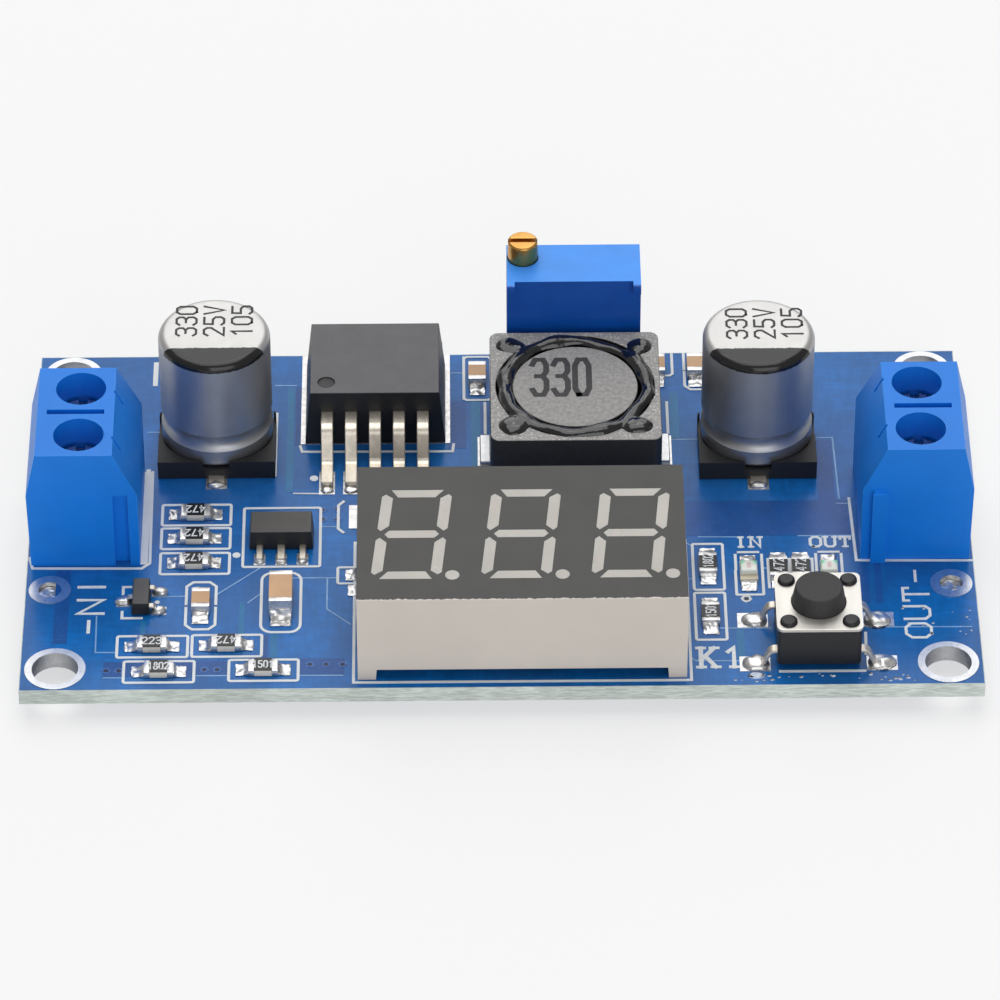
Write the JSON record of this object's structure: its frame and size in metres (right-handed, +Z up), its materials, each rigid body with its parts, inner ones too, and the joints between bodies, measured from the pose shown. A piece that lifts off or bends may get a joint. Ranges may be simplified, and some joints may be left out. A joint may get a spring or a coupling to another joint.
{
  "type": "buck converter module",
  "caption": "Step-down converter board with screw terminals, capacitors, shielded inductor, trimmer, segment display and push button.",
  "frame": {"origin": "centre of the mounting hole pattern, on the underside of the circuit board", "axes": "+X along the board towards the output terminal, +Y towards the edge with the trimmer, +Z up out of the component side"},
  "size_m": [0.066, 0.036, 0.0142],
  "materials": {
    "board": "blue lacquer over glass laminate",
    "tin": "tinned",
    "solder": "bright solder",
    "terminal_plastic": "moulded blue",
    "contact_brass": "tinned brass",
    "clamp_steel": "plated",
    "screw_steel": "plated",
    "can_aluminium": "drawn and satin",
    "black_plastic": "moulded black",
    "chip_epoxy": "moulded dark grey",
    "ferrite": "sintered grey",
    "copper_wire": "lacquered copper",
    "black_glue": "glossy black",
    "trimmer_plastic": "moulded blue",
    "screw_brass": "turned",
    "white_plastic": "moulded",
    "ceramic": "fired",
    "display_shell": "moulded with a dark printed face",
    "segment_resin": "cloudy resin",
    "laminate": "bare laminate",
    "cover_steel": "satin",
    "plunger_plastic": "moulded black",
    "spring_metal": "sprung sheet",
    "resistor_black": "printed glaze",
    "capacitor_tan": "fired",
    "lens_resin": "clear cast resin"
  },
  "bodies": {
    "board": {"circuit_board": "board", "hole_plating": "tin", "pin_solder": "solder", "pad_solder": "solder", "input_terminal_housing": "terminal_plastic", "input_terminal_contacts": "contact_brass", "output_terminal_housing": "terminal_plastic", "output_terminal_contacts": "contact_brass", "input_capacitor_can": "can_aluminium", "input_capacitor_base": "black_plastic", "input_capacitor_leads": "tin", "output_capacitor_can": "can_aluminium", "output_capacitor_base": "black_plastic", "output_capacitor_leads": "tin", "regulator_body": "chip_epoxy", "regulator_tab": "tin", "regulator_leads": "tin", "inductor_shield": "ferrite", "inductor_core": "ferrite", "inductor_winding": "copper_wire", "inductor_glue": "black_glue", "inductor_terminals": "tin", "trimmer_housing": "trimmer_plastic", "trimmer_element": "ceramic", "trimmer_pins": "tin", "display_housing": "display_shell", "display_segments": "segment_resin", "display_board": "laminate", "display_pins": "tin", "controller_body": "chip_epoxy", "controller_leads": "tin", "button_base": "black_plastic", "button_cover": "cover_steel", "button_dome": "spring_metal", "button_leads": "tin", "small_regulator_body": "chip_epoxy", "small_regulator_leads": "tin", "transistor_body": "chip_epoxy", "transistor_leads": "tin", "diode_body": "chip_epoxy", "diode_leads": "tin", "resistor_bodies": "ceramic", "resistor_ends": "solder", "resistor_coats": "resistor_black", "ceramic_capacitor_bodies": "capacitor_tan", "ceramic_capacitor_ends": "solder", "indicator_lenses": "lens_resin", "indicator_bases": "laminate"},
    "input_rear_screw_body": {"input_rear_screw": "screw_steel"},
    "input_front_screw_body": {"input_front_screw": "screw_steel"},
    "output_rear_screw_body": {"output_rear_screw": "screw_steel"},
    "output_front_screw_body": {"output_front_screw": "screw_steel"},
    "input_rear_clamp_body": {"input_rear_clamp": "clamp_steel"},
    "input_front_clamp_body": {"input_front_clamp": "clamp_steel"},
    "output_rear_clamp_body": {"output_rear_clamp": "clamp_steel"},
    "output_front_clamp_body": {"output_front_clamp": "clamp_steel"},
    "trimmer_screw_body": {"trimmer_screw": "screw_brass"},
    "trimmer_rotor_body": {"trimmer_rotor": "white_plastic"},
    "button_plunger_body": {"button_plunger": "plunger_plastic"}
  },
  "joints": [
    {"name": "input_rear_screw_turn", "type": "hinge", "parent": "board", "child": "input_rear_screw_body", "pos_m": [-0.0291, 0.0025, 0.0095], "axis": [0, 0, -1], "range_deg": [0, 1224]},
    {"name": "input_front_screw_turn", "type": "hinge", "parent": "board", "child": "input_front_screw_body", "pos_m": [-0.0291, -0.0025, 0.0095], "axis": [0, 0, -1], "range_deg": [0, 1224]},
    {"name": "output_rear_screw_turn", "type": "hinge", "parent": "board", "child": "output_rear_screw_body", "pos_m": [0.0291, 0.0025, 0.0095], "axis": [0, 0, -1], "range_deg": [0, 1224]},
    {"name": "output_front_screw_turn", "type": "hinge", "parent": "board", "child": "output_front_screw_body", "pos_m": [0.0291, -0.0025, 0.0095], "axis": [0, 0, -1], "range_deg": [0, 1224]},
    {"name": "input_rear_clamp_lift", "type": "slide", "parent": "board", "child": "input_rear_clamp_body", "axis": [0, 0, 1], "range_m": [0, 0.0017]},
    {"name": "input_front_clamp_lift", "type": "slide", "parent": "board", "child": "input_front_clamp_body", "axis": [0, 0, 1], "range_m": [0, 0.0017]},
    {"name": "output_rear_clamp_lift", "type": "slide", "parent": "board", "child": "output_rear_clamp_body", "axis": [0, 0, 1], "range_m": [0, 0.0017]},
    {"name": "output_front_clamp_lift", "type": "slide", "parent": "board", "child": "output_front_clamp_body", "axis": [0, 0, 1], "range_m": [0, 0.0017]},
    {"name": "trimmer_screw_turn", "type": "hinge", "parent": "board", "child": "trimmer_screw_body", "pos_m": [0.00181, 0.0166, 0.0115], "axis": [0, 0, 1], "range_deg": [-4500, 4500]},
    {"name": "trimmer_rotor_turn", "type": "hinge", "parent": "board", "child": "trimmer_rotor_body", "pos_m": [0.00551, 0.0166, 0.0063], "axis": [0, 1, 0], "range_deg": [-150, 150]},
    {"name": "button_press", "type": "slide", "parent": "board", "child": "button_plunger_body", "axis": [0, 0, -1], "range_m": [0, 0.00025], "stiffness_N_per_m": 8000, "deforming": ["button_dome"]}
  ],
  "couplings": [
    {"joint": "input_rear_screw_turn", "follows": "input_rear_clamp_lift", "rad_per_m": 12566},
    {"joint": "input_front_screw_turn", "follows": "input_front_clamp_lift", "rad_per_m": 12566},
    {"joint": "output_rear_screw_turn", "follows": "output_rear_clamp_lift", "rad_per_m": 12566},
    {"joint": "output_front_screw_turn", "follows": "output_front_clamp_lift", "rad_per_m": 12566},
    {"joint": "trimmer_screw_turn", "follows": "trimmer_rotor_turn", "ratio": 30}
  ]
}
